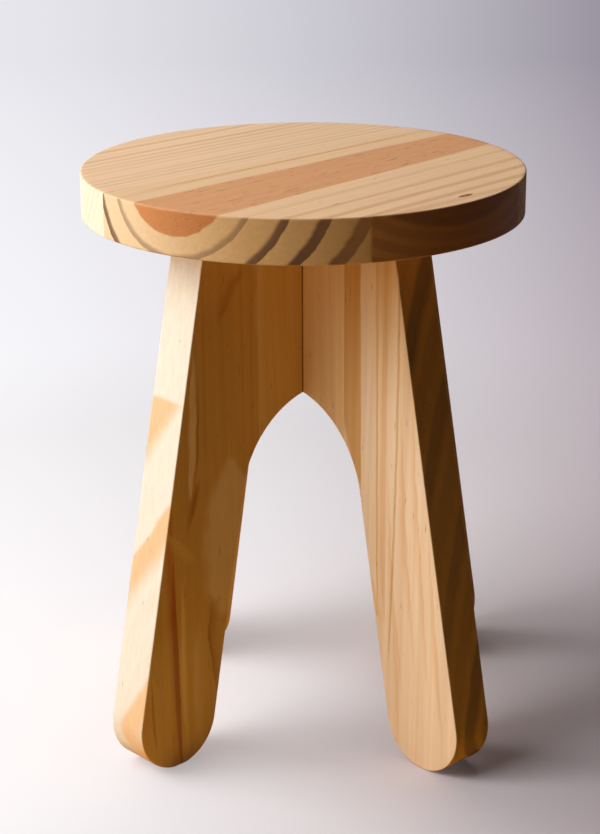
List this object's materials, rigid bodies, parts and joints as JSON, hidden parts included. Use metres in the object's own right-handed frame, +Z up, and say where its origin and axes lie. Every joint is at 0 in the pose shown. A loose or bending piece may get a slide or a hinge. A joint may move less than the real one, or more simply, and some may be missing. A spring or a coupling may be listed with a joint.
{
  "type": "stool",
  "caption": "Round wooden stool with a thick glued-up seat on two arched leg boards that cross at right angles and end in round feet.",
  "frame": {"origin": "on the floor, under the centre of the round seat, midway between the four feet", "axes": "+Z up; +X along the upper leg board towards the back right foot, and along the seat's grain; +Y along the lower leg board towards the back left foot"},
  "size_m": [0.334, 0.334, 0.4],
  "materials": {
    "seat_pine": "sanded pine, clear satin oil, long grain on the face and end grain at the rim",
    "leg_pine": "sanded pine, clear satin oil, grain upright",
    "dowel_beech": "raw turned beech"
  },
  "bodies": {
    "root": {"seat_stave_left": "seat_pine", "seat_stave_middle": "seat_pine", "seat_stave_right": "seat_pine", "upper_board_centre": "leg_pine", "lower_board_centre": "leg_pine", "upper_board_leg_front_left": "leg_pine", "upper_board_leg_back_right": "leg_pine", "lower_board_leg_front_right": "leg_pine", "lower_board_leg_back_left": "leg_pine", "seat_dowels": "dowel_beech"}
  },
  "joints": []
}
